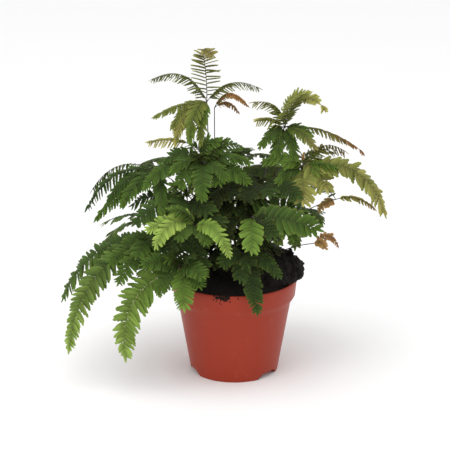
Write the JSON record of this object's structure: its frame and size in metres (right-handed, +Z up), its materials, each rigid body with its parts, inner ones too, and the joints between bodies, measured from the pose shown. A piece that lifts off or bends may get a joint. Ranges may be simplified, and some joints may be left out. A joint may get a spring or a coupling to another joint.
{
  "type": "potted fern",
  "caption": "Maidenhair-type fern with wiry stalks and fans of toothed leaflets that arch and hang over a tapered plastic nursery pot heaped with soil.",
  "frame": {"origin": "centre of the underside of the pot's flat foot, on the surface that it stands on", "axes": "+Z up along the pot's axis; -Y towards the side shown in the picture; +X to that view's right"},
  "size_m": [0.3112, 0.2127, 0.3163],
  "materials": {
    "pot": "semi-matte",
    "soil": "rough, moist peat",
    "stipe": "smooth, dark",
    "leaf_deep": "soft sheen",
    "leaf_fresh": "soft sheen",
    "leaf_olive": "soft sheen",
    "leaf_bronze": "soft sheen"
  },
  "bodies": {
    "root": {"back_left_leaflets": "leaf_deep", "back_left_stipe": "stipe", "back_low_leaflets": "leaf_fresh", "back_low_stipe": "stipe", "back_right_leaflets": "leaf_deep", "back_right_stipe": "stipe", "dome_leaflets": "leaf_deep", "dome_stipe": "stipe", "front_left_leaflets": "leaf_fresh", "front_left_stipe": "stipe", "front_low_leaflets": "leaf_deep", "front_low_stipe": "stipe", "front_right_leaflets": "leaf_fresh", "front_right_stipe": "stipe", "inner_leaflets": "leaf_deep", "inner_stipe": "stipe", "left_leaflets": "leaf_deep", "left_stipe": "stipe", "low_back_left_leaflets": "leaf_deep", "low_back_left_stipe": "stipe", "low_back_right_leaflets": "leaf_deep", "low_back_right_stipe": "stipe", "low_front_left_leaflets": "leaf_deep", "low_front_left_stipe": "stipe", "low_left_leaflets": "leaf_deep", "low_left_stipe": "stipe", "middle_back_leaflets": "leaf_deep", "middle_back_stipe": "stipe", "middle_left_leaflets": "leaf_deep", "middle_left_stipe": "stipe", "middle_right_leaflets": "leaf_deep", "middle_right_stipe": "stipe", "pot": "pot", "right_bronze_leaflets": "leaf_bronze", "right_bronze_stipe": "stipe", "right_leaflets": "leaf_fresh", "right_stipe": "stipe", "soil": "soil", "tall_bronze_leaflets": "leaf_bronze", "tall_bronze_stipe": "stipe", "tall_left_leaflets": "leaf_olive", "tall_left_stipe": "stipe", "tan_left_leaflets": "leaf_olive", "tan_left_stipe": "stipe", "top_right_leaflets": "leaf_olive", "top_right_stipe": "stipe", "young_bronze_leaflets": "leaf_bronze", "young_bronze_stipe": "stipe"}
  },
  "joints": []
}
